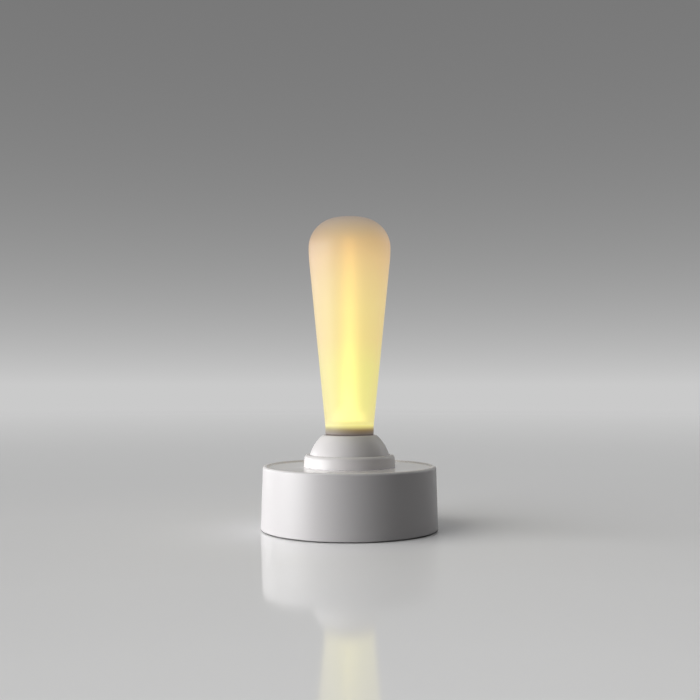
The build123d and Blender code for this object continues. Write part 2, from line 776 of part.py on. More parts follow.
def head_outline(inset):
    """Points of the shade's head at a depth under its surface: cone, belt, shoulder and crown."""
    crown_centre = shade_top - crown_radius
    shoulder_x = head_radius - shoulder_radius
    head_centre = crown_centre + sqrt((crown_radius - shoulder_radius) ** 2 - shoulder_x**2)
    belt_x = head_radius - belt_radius
    reach_x, reach_z = neck_radius - belt_x, head_centre - (ball_top + neck_band)
    slope = atan2(reach_z, reach_x) - acos(belt_radius / hypot(reach_x, reach_z))
    crown_turn = atan2(head_centre - crown_centre, shoulder_x)

    def spot(x, z, radius, angle):
        return x + (radius - inset) * cos(angle), z + (radius - inset) * sin(angle)

    cone_end = spot(belt_x, head_centre, belt_radius, -slope)
    belt = [cone_end, spot(belt_x, head_centre, belt_radius, -slope / 2), (head_radius - inset, head_centre)]
    shoulder_end = spot(shoulder_x, head_centre, shoulder_radius, crown_turn)
    shoulder_middle = spot(shoulder_x, head_centre, shoulder_radius, crown_turn / 2)
    shoulder = [belt[2], shoulder_middle, shoulder_end]
    crown_middle = spot(0, crown_centre, crown_radius, (crown_turn + pi / 2) / 2)
    crown = [shoulder_end, crown_middle, (0, shade_top - inset)]
    return slope, cone_end, [ThreePointArc(*arc) for arc in (belt, shoulder, crown)]


def silicone_shade():
    """Soft milky stick: straight neck, cone and flattened head of one wall thickness."""
    slope, cone_end, outer_head = head_outline(0)
    slope, inner_end, inner_head = head_outline(shade_wall)
    neck_inner = neck_radius - shade_wall
    cone_foot = (neck_inner, inner_end[1] - (inner_end[0] - neck_inner) / sin(slope) * cos(slope))
    bead_inner = neck_inner - bead_depth
    bead_low = ball_top + bead_rise
    bead_high = bead_low + bead_height
    walls = Polyline(
        inner_end,
        cone_foot,
        (neck_inner, bead_high),
        (bead_inner, bead_high),
        (bead_inner, bead_low),
        (neck_inner, bead_low),
        (neck_inner, ball_top),
        (neck_radius, ball_top),
        (neck_radius, ball_top + neck_band),
        cone_end,
    )
    middle = Line((0, shade_top), (0, shade_top - shade_wall))
    return turned(walls, *outer_head, middle, *inner_head)


def led_wire(side):
    """Wire from the lamp board, down past the gimbal and out under the spring seat."""
    x = led_wire_circle
    points = [(x, 0, led_board_bottom), (x, 0, wire_run), (connector_circle, 0, wire_run)]
    path = FilletPolyline(*points, radius=wire_bend)
    wire = sweep(Plane(origin=points[0], z_dir=(0, 0, -1)) * Circle(wire_radius), path=path)
    return Rot(0, 0, led_wire_direction + side * led_wire_spread) * wire


def save(name, shape):
    """Write one sub-part, as one solid or as a group of separate solids."""
    pieces = shape if isinstance(shape, list) else [shape]
    solids = [solid for piece in pieces for solid in piece.solids()]
    export_step(solids[0] if len(solids) == 1 else Compound(solids), f"parts/{name}.step")


os.makedirs("parts", exist_ok=True)
save("base_housing", base_housing())
save("base_cover", base_cover())
save("cover_screws", cover_screws())
save("rubber_feet", rubber_feet())
save("battery_door", battery_door())
save("door_screws", door_screws())
for number in range(cell_count):
    save(f"battery_cell_{number + 1}", battery_cell(number))
save("battery_springs", battery_springs())
for side, end in (("left", -1), ("right", 1)):
    save(f"contact_plates_{side}", contact_plates(end))
save("battery_lead_black", battery_lead(-1))
save("battery_lead_red", battery_lead(1))
save("main_board", main_board())
save("board_screws", board_screws())
save("switch_bodies", switch_bodies())
for side, angle in (("right", 0), ("back", 90), ("left", 180), ("front", 270)):
    save(f"switch_button_{side}", switch_button(angle))
save("board_components", board_components())
save("led_connector", led_connector())
save("collar_ring", collar_ring())
save("pivot_post", pivot_post())
save("post_screws", post_screws())
save("gimbal_hub", gimbal_hub())
save("sideways_pins", sideways_pins())
save("fore_aft_pin", fore_aft_pin())
save("centring_spring", centring_spring())
save("ball_dome", ball_dome())
save("stick_yoke", stick_yoke())
save("stick_screws", stick_screws())
save("led_holder", led_holder())
save("led_board", led_board())
save("led_chips", led_chips())
save("light_guide", light_guide())
save("silicone_shade", silicone_shade())
save("led_wire_black", led_wire(-1))
save("led_wire_red", led_wire(1))

print(f"pivot {pivot:.2f}, rim {rim_top:.2f}, base radius {base_radius:.2f}, top {shade_top:.2f}")
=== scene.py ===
"""Night light: the looks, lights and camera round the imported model.

Lengths are in metres, +Z is up and the front looks towards -Y.
"""
import json
import math

import bmesh
import bpy
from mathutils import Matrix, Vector


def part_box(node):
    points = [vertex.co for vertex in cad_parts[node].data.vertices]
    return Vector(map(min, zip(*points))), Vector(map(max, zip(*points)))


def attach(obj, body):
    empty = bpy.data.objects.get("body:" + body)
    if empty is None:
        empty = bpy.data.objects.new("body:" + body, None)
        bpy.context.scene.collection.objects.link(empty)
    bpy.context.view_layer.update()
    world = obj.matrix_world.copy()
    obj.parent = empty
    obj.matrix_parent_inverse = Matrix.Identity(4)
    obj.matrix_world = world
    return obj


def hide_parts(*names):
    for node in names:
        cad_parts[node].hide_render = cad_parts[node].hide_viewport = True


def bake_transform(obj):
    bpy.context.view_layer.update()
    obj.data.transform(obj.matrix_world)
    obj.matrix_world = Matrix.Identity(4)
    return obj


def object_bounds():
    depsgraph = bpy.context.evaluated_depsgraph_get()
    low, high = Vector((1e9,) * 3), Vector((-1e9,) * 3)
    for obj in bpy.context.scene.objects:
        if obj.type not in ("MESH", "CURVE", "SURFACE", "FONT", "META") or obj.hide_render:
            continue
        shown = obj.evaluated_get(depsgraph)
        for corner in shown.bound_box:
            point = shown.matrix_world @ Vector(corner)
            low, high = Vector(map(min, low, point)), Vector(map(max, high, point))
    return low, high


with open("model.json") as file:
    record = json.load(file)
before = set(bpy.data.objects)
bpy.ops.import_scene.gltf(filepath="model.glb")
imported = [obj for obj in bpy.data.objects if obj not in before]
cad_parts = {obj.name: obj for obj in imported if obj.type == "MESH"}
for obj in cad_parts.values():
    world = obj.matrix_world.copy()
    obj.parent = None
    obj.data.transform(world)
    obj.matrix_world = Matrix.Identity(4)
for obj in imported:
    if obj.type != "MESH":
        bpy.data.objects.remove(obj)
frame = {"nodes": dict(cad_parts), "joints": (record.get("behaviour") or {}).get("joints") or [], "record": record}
cad_low, cad_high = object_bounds()
nodes = frame["nodes"]
slots = {row["node"]: row["material_slot"] for row in frame["record"]["subparts"]}

# camera, fitted to the photograph
camera_distance = 0.400
camera_height = 0.061
camera_aside = 0.0002
camera_pitch = 2.10         # degrees upward
lens_length = 48.3          # this and the sensor's width are in millimetres
sensor_width = 36
clip_near = 0.01
clip_far = 50

# Lights. A level is what a white surface facing the light gives back, and an azimuth counts in
# degrees from the camera's side, negative towards the left. The panels are the key, one further
# back for the left edges, a rim light from behind on the right, and a faint one behind, which the
# level faces mirror.
panels = {
    "key_light": dict(level=1.09, azimuth=-76, elevation=2.5, distance=1.6, width=1.3, height=0.40),
    "back_light": dict(level=0.18, azimuth=-125, elevation=4, distance=1.6, width=0.5, height=0.40),
    "rim_light": dict(level=0.085, azimuth=128, elevation=24, distance=1.4, width=0.8, height=0.8),
    "gloss_light": dict(level=0.0055, azimuth=180, elevation=7, distance=1.6, width=1.0, height=0.3),
}
top_level = 0.28
top_azimuth = -76
top_elevation = 80
top_spread = 100            # degrees, the width of the soft light overhead
floor_light_level = 0.72    # the soft light that only the floor takes, for its pale tone and shadow
floor_light_azimuth = -68
floor_light_elevation = 34
floor_light_spread = 62
ambient_level = 0.02

# backdrop and floor, linear greys
horizon_grey = 0.59
zenith_grey = 0.175
backdrop_fade = 0.115       # rise, as a share of the distance, over which the backdrop darkens
floor_grey = 0.90
floor_bounce_grey = 0.10    # what the floor gives back to the object
floor_roughness = 0.09
floor_ior = 1.35
floor_reach = 8.0
floor_steps = 96
floor_drop = 0.00002        # keeps the floor just clear of the feet
floor_near = 0.30           # distance at which the floor starts to melt into the backdrop
floor_far = 2.2             # and at which it has

# the silicone stick, which replaces the plain solid
neck_radius = 0.01025
neck_band = 0.0034
shade_wall = 0.002
crown_radius = 0.0340       # the three arcs of the head, from its top down
shoulder_radius = 0.0128
belt_radius = 0.0600
lip_round = 0.0003
edge_step = 0.0001          # from an edge to the outline's point beside it
glow_rise = 0.001           # from the neck's band to where the skin's own glow takes over
turn_steps = 144
neck_steps = 8
cone_steps = 24
belt_steps = 10
shoulder_steps = 24
crown_steps = 10
milk_colour = (0.28, 0.26, 0.23)
milk_clearness = 0.65       # share of the light that passes through a surface
silicone_ior = 1.41
skin_tint = (0.60, 0.56, 0.68)     # light left after it passes straight through the outer skin
skin_gain = 1 / min(skin_tint)
skin_roughness = 0.55
guide_strength = 5.6
lamp_strength = 3.0

shade_low, shade_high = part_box("silicone_shade")

# the lamp wires and the centring spring, which bend as the stick tilts
bending_nodes = ("led_wire_black", "led_wire_red", "centring_spring")
pivot_height = frame["joints"][0]["pos_m"][2]
bend_step = 0.0008
weld_distance = 1e-7
cut_tolerance = 1e-8
crease_angle = 40           # degrees from which an edge stays sharp

# head radii of the screws, and what the looks need to know of the cells, boards, lamps, wires
# and feet
screw_heads = {
    "cover_screws": 0.0022,
    "door_screws": 0.0019,
    "board_screws": 0.0015,
    "post_screws": 0.0015,
    "stick_screws": 0.0015,
}
cell_count = 3
cell_bare_radius = 0.0043   # inside this the sleeve leaves the cell's ends bare
trace_pitch = 0.0016
trace_width = 0.00035
trace_run = 3 * trace_pitch
trace_gaps = 0.45           # share of the runs that are left out
board_skin = 0.00005        # under a board's faces, where its cut edge starts
screw_pad_radius = 0.0019
lamp_pad_radius = 0.0022
lamp_count = 3
lamp_circle = 0.0034
window_radius = 0.0010
window_edge = 0.0002        # over which a lamp's window fades out
wire_bare_length = 0.0008
dust_height = 0.0004

# finish of the plastics
plastic_ior = 1.5
plastic_wipe = 0.06         # how far a wiped patch changes the roughness
shell_colour = (0.870, 0.845, 0.850)
shell_roughness = 0.38
shell_level_roughness = 0.12
shell_level = (0.90, 0.995)        # upward share of the normal where the polish starts, and is full
shell_wipe = 0.02
noise_middle = (0.3, 0.7)   # between these lie most of a noise's values


def start_material(name):
    """A new material, its node tree and its Principled shader."""
    material = bpy.data.materials.new(name)
    material.use_nodes = True
    tree = material.node_tree
    return material, tree, tree.nodes["Principled BSDF"]


def add_node(tree, kind, inputs=None, **settings):
    """A node with its settings, whose inputs are values or other nodes' outputs."""
    node = tree.nodes.new(kind)
    for name, value in settings.items():
        setattr(node, name, value)
    for key, value in (inputs or {}).items():
        if isinstance(value, bpy.types.NodeSocket):
            tree.links.new(value, node.inputs[key])
        else:
            node.inputs[key].default_value = value
    return node


def object_place(tree):
    """The point in the frame, which stays on the piece as it moves."""
    return add_node(tree, "ShaderNodeTexCoord").outputs["Object"]


def noise(tree, place, size, detail=3.0, roughness=0.5):
    """Noise from 0 to 1 whose spots are about as large as size."""
    node = add_node(
        tree, "ShaderNodeTexNoise",
        {"Vector": place, "Scale": 1 / size, "Detail": detail, "Roughness": roughness},
    )
    return node.outputs["Fac"]


def spread(tree, value, low, high, from_low=0.0, from_high=1.0, smooth=False):
    """A value carried from one range to another."""
    node = add_node(
        tree, "ShaderNodeMapRange",
        {"Value": value, "From Min": from_low, "From Max": from_high, "To Min": low, "To Max": high},
        interpolation_type="SMOOTHSTEP" if smooth else "LINEAR",
    )
    return node.outputs["Result"]


def blend_colour(tree, share, first, second):
    """A colour between two colours."""
    node = add_node(tree, "ShaderNodeMix", data_type="RGBA")
    for key, value in ((0, share), (6, first), (7, second)):
        if isinstance(value, bpy.types.NodeSocket):
            tree.links.new(value, node.inputs[key])
        else:
            node.inputs[key].default_value = (*value, 1.0) if key else value
    return node.outputs[2]


def calculate(tree, operation, first, second=0.0):
    """One step of arithmetic."""
    return add_node(tree, "ShaderNodeMath", {0: first, 1: second}, operation=operation).outputs[0]


def bump(tree, shader, height, depth):
    """Surface relief, depth metres from its lowest to its highest."""
    node = add_node(tree, "ShaderNodeBump", {"Height": height, "Distance": depth, "Strength": 1.0})
    tree.links.new(node.outputs["Normal"], shader.inputs["Normal"])


def colour_stops(tree, value, stops):
    """A colour that changes along a value from 0 to 1."""
    node = add_node(tree, "ShaderNodeValToRGB", {"Fac": value})
    ramp = node.color_ramp
    while len(ramp.elements) < len(stops):
        ramp.elements.new(1.0)
    for element, (position, colour) in zip(ramp.elements, stops):
        element.position = position
        element.color = (*colour, 1.0)
    return node.outputs["Color"]


def vector_math(tree, operation, first, second=(0.0, 0.0, 0.0), output="Vector"):
    """One step of vector arithmetic."""
    node = add_node(tree, "ShaderNodeVectorMath", {0: first, 1: second}, operation=operation)
    return node.outputs[output]


def axes_of(tree, place):
    """The X, Y and Z of a point."""
    return tuple(add_node(tree, "ShaderNodeSeparateXYZ", {"Vector": place}).outputs)


def stretched(tree, place, x=1.0, y=1.0, z=1.0):
    """A point with its axes scaled, so that a pattern on it is drawn out."""
    return vector_math(tree, "MULTIPLY", place, (x, y, z))


def within(tree, value, low, high):
    """1 between two limits and 0 outside them."""
    above = calculate(tree, "GREATER_THAN", value, low)
    return calculate(tree, "MULTIPLY", above, calculate(tree, "LESS_THAN", value, high))


def distance_to(tree, place, spot):
    """How far a point is from the upright line over a spot."""
    flat = vector_math(tree, "MULTIPLY", place, (1.0, 1.0, 0.0))
    return vector_math(tree, "DISTANCE", flat, (*spot, 0.0), "Value")


def screw_spot(node):
    """The place of the screw of a node that lies towards +X and +Y."""
    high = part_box(node)[1]
    return high.x - screw_heads[node], high.y - screw_heads[node]


def screw_distance(tree, place, node):
    """How far a point is from the nearest screw, whose places mirror in X and Y."""
    return distance_to(tree, vector_math(tree, "ABSOLUTE", place), screw_spot(node))


def wire_up(tree, shader, colour, roughness, metallic=None):
    """Give a shader its colour, roughness and metal share, as values or as other nodes' outputs."""
    for name, value in (("Base Color", colour), ("Roughness", roughness), ("Metallic", metallic)):
        if isinstance(value, bpy.types.NodeSocket):
            tree.links.new(value, shader.inputs[name])
        elif value is not None:
            shader.inputs[name].default_value = (*value, 1.0) if name == "Base Color" else value


def light_up(tree, shader, glow, strength):
    """Let a shader give light of a colour that comes from another node."""
    tree.links.new(glow, shader.inputs["Emission Color"])
    shader.inputs["Emission Strength"].default_value = strength


def darker(colour, share):
    """A colour brought down to a share of itself."""
    return tuple(value * share for value in colour)


def moulded_plastic(name, colour, roughness, grain_size, grain_depth, draw=(1.0, 1.0, 1.0)):
    """Moulded plastic: faint clouds in its colour, wiped patches in its gloss and a fine grain."""
    material, tree, shader = start_material(name)
    place = object_place(tree)
    clouds = noise(tree, stretched(tree, place, *draw), size=0.018, detail=4.0)
    cloudy = blend_colour(tree, clouds, darker(colour, 0.965), colour)
    wipes = noise(tree, place, size=0.006, detail=5.0, roughness=0.6)
    finish = spread(tree, wipes, roughness - plastic_wipe, roughness + plastic_wipe, *noise_middle)
    wire_up(tree, shader, cloudy, finish)
    bump(tree, shader, noise(tree, place, size=grain_size, detail=2.0), depth=grain_depth)
    shader.inputs["IOR"].default_value = plastic_ior
    return material


def glossy_shell():
    """The white outer shell: satin walls, level faces polished a little smoother, hardly any grain."""
    material, tree, shader = start_material("shell_white")
    place = object_place(tree)
    clouds = noise(tree, place, size=0.018, detail=4.0)
    cloudy = blend_colour(tree, clouds, darker(shell_colour, 0.98), shell_colour)
    level = axes_of(tree, add_node(tree, "ShaderNodeNewGeometry").outputs["Normal"])[2]
    polish = spread(tree, level, shell_roughness, shell_level_roughness, *shell_level, smooth=True)
    wipes = noise(tree, place, size=0.008, detail=4.0)
    wiped = spread(tree, wipes, -shell_wipe, shell_wipe, *noise_middle)
    wire_up(tree, shader, cloudy, calculate(tree, "ADD", polish, wiped))
    bump(tree, shader, noise(tree, place, size=0.0006, detail=2.0), depth=0.0000003)
    shader.inputs["IOR"].default_value = plastic_ior
    return material


def screw_metal(node):
    """Plated steel with turned rings round each screw's axis."""
    material, tree, shader = start_material(node + "_steel")
    place = object_place(tree)
    across = screw_distance(tree, place, node)
    ring_place = add_node(tree, "ShaderNodeCombineXYZ", {"X": across}).outputs[0]
    rings = noise(tree, ring_place, size=0.00012, roughness=0.6)
    plating = noise(tree, place, size=0.0012, detail=4.0, roughness=0.6)
    zinc, yellowed, groove = (0.60, 0.60, 0.62), (0.66, 0.63, 0.56), (0.40, 0.40, 0.41)
    plated = blend_colour(tree, plating, zinc, yellowed)
    turned = blend_colour(tree, spread(tree, rings, 0.0, 0.35), plated, groove)
    wire_up(tree, shader, turned, spread(tree, plating, 0.24, 0.42, *noise_middle), metallic=1.0)
    bump(tree, shader, rings, depth=0.000006)
    return material


def drawn_steel():
    """Bright drawn wire and ground pins: fine marks and a few dull patches."""
    material, tree, shader = start_material("pin_steel")
    place = object_place(tree)
    bright = (0.70, 0.70, 0.71)
    marks = noise(tree, stretched(tree, place, z=6.0), size=0.0005, detail=6.0, roughness=0.7)
    dull = noise(tree, place, size=0.004)
    marked = blend_colour(tree, marks, darker(bright, 0.8), bright)
    wire_up(tree, shader, marked, spread(tree, dull, 0.15, 0.34, 0.35, 0.7), metallic=1.0)
    bump(tree, shader, marks, depth=0.000003)
    return material


def contact_metal():
    """Nickel-plated spring steel with press marks and some tarnish."""
    material, tree, shader = start_material("contact_metal")
    place = object_place(tree)
    stains = noise(tree, place, size=0.0035, detail=6.0, roughness=0.65)
    tarnish = spread(tree, stains, 0.0, 0.55, 0.52, 0.72, smooth=True)
    press = noise(tree, stretched(tree, place, y=8.0), size=0.0012, detail=4.0, roughness=0.6)
    dull_nickel, bright_nickel, brown = (0.70, 0.69, 0.65), (0.80, 0.79, 0.76), (0.42, 0.34, 0.22)
    plate = blend_colour(tree, press, dull_nickel, bright_nickel)
    polish = spread(tree, press, 0.18, 0.32)
    roughness = calculate(tree, "ADD", polish, calculate(tree, "MULTIPLY", tarnish, 0.3))
    wire_up(tree, shader, blend_colour(tree, tarnish, plate, brown), roughness, metallic=1.0)
    bump(tree, shader, press, depth=0.000004)
    return material


def cell_sleeve(number):
    """A dry cell's sleeve in two plain colours, shrunk over its ends, which stay bare.

    The middle cell lies the other way round.
    """
    node = f"battery_cell_{number}"
    low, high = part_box(node)
    way = 1 if number % 2 else -1
    material, tree, shader = start_material(node + "_sleeve")
    place = object_place(tree)
    foot = low.x if way > 0 else high.x
    along = spread(tree, axes_of(tree, place)[0], 0.0, 1.0, foot, foot + way * (high.x - low.x))
    sleeve = colour_stops(tree, along, [
        (0.000, (0.045, 0.090, 0.075)),
        (0.640, (0.060, 0.130, 0.105)),
        (0.642, (0.700, 0.700, 0.680)),
        (0.652, (0.700, 0.700, 0.680)),
        (0.654, (0.560, 0.300, 0.110)),
        (0.955, (0.620, 0.350, 0.140)),
        (0.957, (0.030, 0.030, 0.030)),
    ])
    scratches = noise(tree, place, size=0.0005, detail=4.0, roughness=0.7)
    scuffs = spread(tree, scratches, 0.0, 0.5, 0.62, 0.75)
    scuff_grey, bare_metal = (0.34, 0.34, 0.33), (0.66, 0.65, 0.62)
    printed = blend_colour(tree, scuffs, sleeve, scuff_grey)
    middle = (0.0, (low.y + high.y) / 2, (low.z + high.z) / 2)
    flat = vector_math(tree, "MULTIPLY", place, (0.0, 1.0, 1.0))
    from_axis = vector_math(tree, "DISTANCE", flat, middle, "Value")
    bare = calculate(tree, "LESS_THAN", from_axis, cell_bare_radius)
    wrinkles = noise(tree, stretched(tree, place, x=0.25), size=0.0016, detail=4.0)
    wire_up(
        tree, shader, blend_colour(tree, bare, printed, bare_metal),
        spread(tree, wrinkles, 0.16, 0.34, *noise_middle), spread(tree, bare, 0.35, 1.0))
    bump(tree, shader, wrinkles, depth=0.00002)
    return material


def traces(tree, across, along, seed):
    """Copper lines along one axis, broken off here and there."""
    row = calculate(tree, "DIVIDE", across, trace_pitch)
    from_line = calculate(tree, "SUBTRACT", calculate(tree, "FRACT", row), 0.5)
    half_width = trace_width / trace_pitch / 2
    line = calculate(tree, "LESS_THAN", calculate(tree, "ABSOLUTE", from_line), half_width)
    run = calculate(tree, "FLOOR", calculate(tree, "DIVIDE", along, trace_run))
    spot = add_node(tree, "ShaderNodeCombineXYZ", {
        "X": calculate(tree, "FLOOR", row), "Y": run, "Z": seed}).outputs[0]
    pick = add_node(tree, "ShaderNodeTexWhiteNoise", {"Vector": spot}).outputs["Value"]
    return calculate(tree, "MULTIPLY", line, calculate(tree, "GREATER_THAN", pick, trace_gaps))


def circuit_board(node, lacquer, copper_colour, edge_colour, pads):
    """Lacquered board: copper traces under the lacquer, bare tinned pads and a raw cut edge.

    pads gives, from the tree and the point, the 0 or 1 of bare tin.
    """
    low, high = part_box(node)
    material, tree, shader = start_material(node + "_lacquer")
    place = object_place(tree)
    x, y, z = axes_of(tree, place)
    copper = calculate(tree, "MAXIMUM", traces(tree, y, x, seed=1.5), traces(tree, x, y, seed=7.5))
    weave = noise(tree, place, size=0.0007)
    coat = blend_colour(tree, weave, darker(lacquer, 0.9), lacquer)
    coat = blend_colour(tree, copper, coat, copper_colour)
    side = within(tree, z, low.z + board_skin, high.z - board_skin)
    coat = blend_colour(tree, side, coat, edge_colour)
    bare = calculate(tree, "MULTIPLY", pads(tree, place), calculate(tree, "SUBTRACT", 1.0, side))
    tin = (0.66, 0.66, 0.64)
    wire_up(tree, shader, blend_colour(tree, bare, coat, tin), spread(tree, weave, 0.26, 0.40), bare)
    bump(tree, shader, calculate(tree, "MAXIMUM", copper, bare), depth=0.00003)
    return material


def lamp_distance(tree, place):
    """How far a point is from the middle of the nearest lamp."""
    nearest = None
    for number in range(lamp_count):
        angle = math.radians(90 + number * 360 / lamp_count)
        spot = (lamp_circle * math.cos(angle), lamp_circle * math.sin(angle))
        away = distance_to(tree, place, spot)
        nearest = calculate(tree, "MINIMUM", nearest, away) if nearest else away
    return nearest


def main_board_pads(tree, place):
    """1 on the tinned rings round the main board's screws."""
    return calculate(tree, "LESS_THAN", screw_distance(tree, place, "board_screws"), screw_pad_radius)


def lamp_board_pads(tree, place):
    """1 on the tinned pads round the lamps."""
    return calculate(tree, "LESS_THAN", lamp_distance(tree, place), lamp_pad_radius)


def lit_lamps():
    """White lamp bodies, each with a glowing round phosphor window."""
    material, tree, shader = start_material("lit_lamps")
    place = object_place(tree)
    away = lamp_distance(tree, place)
    window = spread(tree, away, 1.0, 0.0, window_radius, window_radius + window_edge)
    crumbs = noise(tree, place, size=0.0002, detail=2.0)
    deep_yellow, pale_yellow, body_white = (0.85, 0.62, 0.12), (1.0, 0.82, 0.25), (0.86, 0.85, 0.80)
    phosphor = blend_colour(tree, crumbs, deep_yellow, pale_yellow)
    wire_up(tree, shader, blend_colour(tree, window, body_white, phosphor), roughness=0.35)
    body_glow, window_glow = (0.20, 0.16, 0.07), (1.0, 0.80, 0.42)
    light_up(tree, shader, blend_colour(tree, window, body_glow, window_glow), lamp_strength)
    bump(tree, shader, crumbs, depth=0.000004)
    return material


def moulded_black():
    """Black moulded parts: coarse grain, and grey bloom in patches."""
    material, tree, shader = start_material("component_black")
    place = object_place(tree)
    patches = noise(tree, place, size=0.003, detail=5.0, roughness=0.6)
    bloom = spread(tree, patches, 0.0, 0.5, 0.5, 0.75, smooth=True)
    grain = noise(tree, place, size=0.00018)
    black, grey = (0.035, 0.035, 0.038), (0.085, 0.083, 0.080)
    wire_up(tree, shader, blend_colour(tree, bloom, black, grey), spread(tree, grain, 0.38, 0.60))
    bump(tree, shader, grain, depth=0.00001)
    return material


def foot_rubber():
    """Dark rubber, dusty where it stands on the table."""
    material, tree, shader = start_material("foot_rubber")
    place = object_place(tree)
    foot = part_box("rubber_feet")[0].z
    low_down = spread(tree, axes_of(tree, place)[2], 1.0, 0.0, foot, foot + dust_height)
    specks = noise(tree, place, size=0.0008, detail=5.0, roughness=0.7)
    dust = calculate(tree, "MULTIPLY", low_down, specks)
    grain = noise(tree, place, size=0.0003, detail=4.0, roughness=0.6)
    black, grey, dust_grey = (0.10, 0.10, 0.105), (0.17, 0.17, 0.175), (0.42, 0.41, 0.39)
    rubber = blend_colour(tree, grain, black, grey)
    dusty = blend_colour(tree, dust, rubber, dust_grey)
    wire_up(tree, shader, dusty, spread(tree, grain, 0.65, 0.9))
    bump(tree, shader, grain, depth=0.00002)
    return material


def wire_cover(node, colour, bare_top):
    """Wire insulation with a drawn skin, and bare tinned copper at the soldered end."""
    low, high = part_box(node)
    material, tree, shader = start_material(node + "_cover")
    place = object_place(tree)
    beyond = 0.001          # past the wire's end, so that the end's own face is bare too
    if bare_top:
        limits = (high.z - wire_bare_length, high.z + beyond)
    else:
        limits = (low.z - beyond, low.z + wire_bare_length)
    bare = within(tree, axes_of(tree, place)[2], *limits)
    skin = noise(tree, stretched(tree, place, z=0.3), size=0.0008, detail=4.0)
    cover = blend_colour(tree, skin, darker(colour, 0.75), colour)
    tin = (0.64, 0.62, 0.58)
    wire_up(
        tree, shader, blend_colour(tree, bare, cover, tin),
        spread(tree, skin, 0.30, 0.46, *noise_middle), bare)
    bump(tree, shader, skin, depth=0.00001)
    return material


def height_share(tree, low, high):
    """How high a point is in the frame, from 0 at low to 1 at high."""
    return spread(tree, axes_of(tree, object_place(tree))[2], 0.0, 1.0, low, high)


def milky(tree, milk):
    """A milky colour with faint clouds."""
    clouds = noise(tree, object_place(tree), size=0.012)
    return blend_colour(tree, clouds, darker(milk, 0.93), milk)


def silicone_body(tree, shader, colour, clearness):
    """What all the silicone surfaces share besides their colour: a fine grain and a dull gloss."""
    grain = noise(tree, object_place(tree), size=0.0008)
    wire_up(tree, shader, colour, spread(tree, grain, 0.52, 0.60))
    bump(tree, shader, grain, depth=0.000006)
    shader.inputs["Transmission Weight"].default_value = clearness
    shader.inputs["IOR"].default_value = silicone_ior


def under_skin(colour, gain=1.0):
    """What shows as a colour once it has passed straight through the skin."""
    return tuple(value * gain / (skin_gain * tint) for value, tint in zip(colour, skin_tint))


def lit_silicone():
    """Milky silicone lit from its foot: warm yellow, turning orange and then unlit at its head.

    Its skin swallows more light where that passes slantwise, so the stick's edges are deeper in tone.
    """
    material, tree, shader = start_material("lit_silicone")
    stops = [
        (0.048, (0.900, 0.820, 0.285)),
        (0.064, (0.800, 0.740, 0.250)),
        (0.135, (0.800, 0.750, 0.245)),
        (0.296, (0.785, 0.730, 0.235)),
        (0.433, (0.790, 0.645, 0.240)),
        (0.570, (0.785, 0.635, 0.250)),
        (0.685, (0.760, 0.585, 0.245)),
        (0.790, (0.710, 0.510, 0.225)),
        (0.869, (0.590, 0.410, 0.190)),
        (0.956, (0.380, 0.300, 0.185)),
        (1.000, (0.270, 0.230, 0.170)),
    ]
    rise = height_share(tree, shade_low.z, shade_high.z)
    glow = colour_stops(tree, rise, [(place, under_skin(colour)) for place, colour in stops])
    light_up(tree, shader, glow, skin_gain)
    silicone_body(tree, shader, milky(tree, under_skin(milk_colour, skin_gain)), milk_clearness)
    shader.inputs["Coat Weight"].default_value = 1.0
    shader.inputs["Coat Roughness"].default_value = skin_roughness
    shader.inputs["Coat IOR"].default_value = silicone_ior
    shader.inputs["Coat Tint"].default_value = (*skin_tint, 1.0)
    return material


def inner_silicone():
    """The stick's inner surface, which only scatters the light."""
    material, tree, shader = start_material("inner_silicone")
    silicone_body(tree, shader, milky(tree, milk_colour), milk_clearness)
    return material


def neck_silicone():
    """The tight neck over the lamp holder, where the glow ends, with a painted shadow line at its foot."""
    material, tree, shader = start_material("neck_silicone")
    rise = height_share(tree, shade_low.z, shade_low.z + neck_band + glow_rise)
    glow = colour_stops(tree, rise, [
        (0.00, (0.068, 0.055, 0.050)),
        (0.08, (0.072, 0.058, 0.051)),
        (0.14, (0.086, 0.070, 0.057)),
        (0.28, (0.125, 0.088, 0.056)),
        (0.50, (0.205, 0.132, 0.050)),
        (0.60, (0.330, 0.250, 0.080)),
        (0.70, (0.500, 0.405, 0.138)),
        (0.80, (0.650, 0.560, 0.175)),
        (0.98, (0.860, 0.780, 0.255)),
    ])
    light_up(tree, shader, glow, 1.0)
    # its colour changes with height and is darkest in a thin band at the foot: painted shade where the neck meets
    # the dome
    tint = colour_stops(tree, rise, [
        (0.00, (0.090, 0.070, 0.065)),
        (0.07, (0.100, 0.080, 0.075)),
        (0.12, (0.240, 0.210, 0.195)),
        (0.30, (0.215, 0.205, 0.175)),
        (0.50, (0.200, 0.215, 0.170)),
        (0.70, (0.120, 0.140, 0.130)),
        (0.98, (0.180, 0.190, 0.180)),
    ])
    silicone_body(tree, shader, tint, clearness=0.0)
    return material


def lit_guide():
    """The clear rod over the lamps: fine scores that let its light out, dimmer towards its tip."""
    material, tree, shader = start_material("lit_guide")
    foot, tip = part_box("light_guide")
    glow = colour_stops(tree, height_share(tree, foot.z, tip.z), [
        (0.000, (0.80, 0.72, 0.25)),
        (0.080, (1.00, 1.00, 0.30)),
        (0.400, (1.00, 0.90, 0.18)),
        (0.750, (1.00, 0.68, 0.09)),
        (1.000, (0.80, 0.40, 0.04)),
    ])
    score_glow, clear = (0.60, 0.42, 0.10), (0.85, 0.85, 0.80)
    scores = noise(tree, stretched(tree, object_place(tree), z=5.0), size=0.0009)
    scored = blend_colour(tree, spread(tree, scores, 0.0, 0.25, 0.35, 0.65), glow, score_glow)
    light_up(tree, shader, scored, guide_strength)
    wire_up(tree, shader, clear, spread(tree, scores, 0.18, 0.36))
    bump(tree, shader, scores, depth=0.00001)
    return material


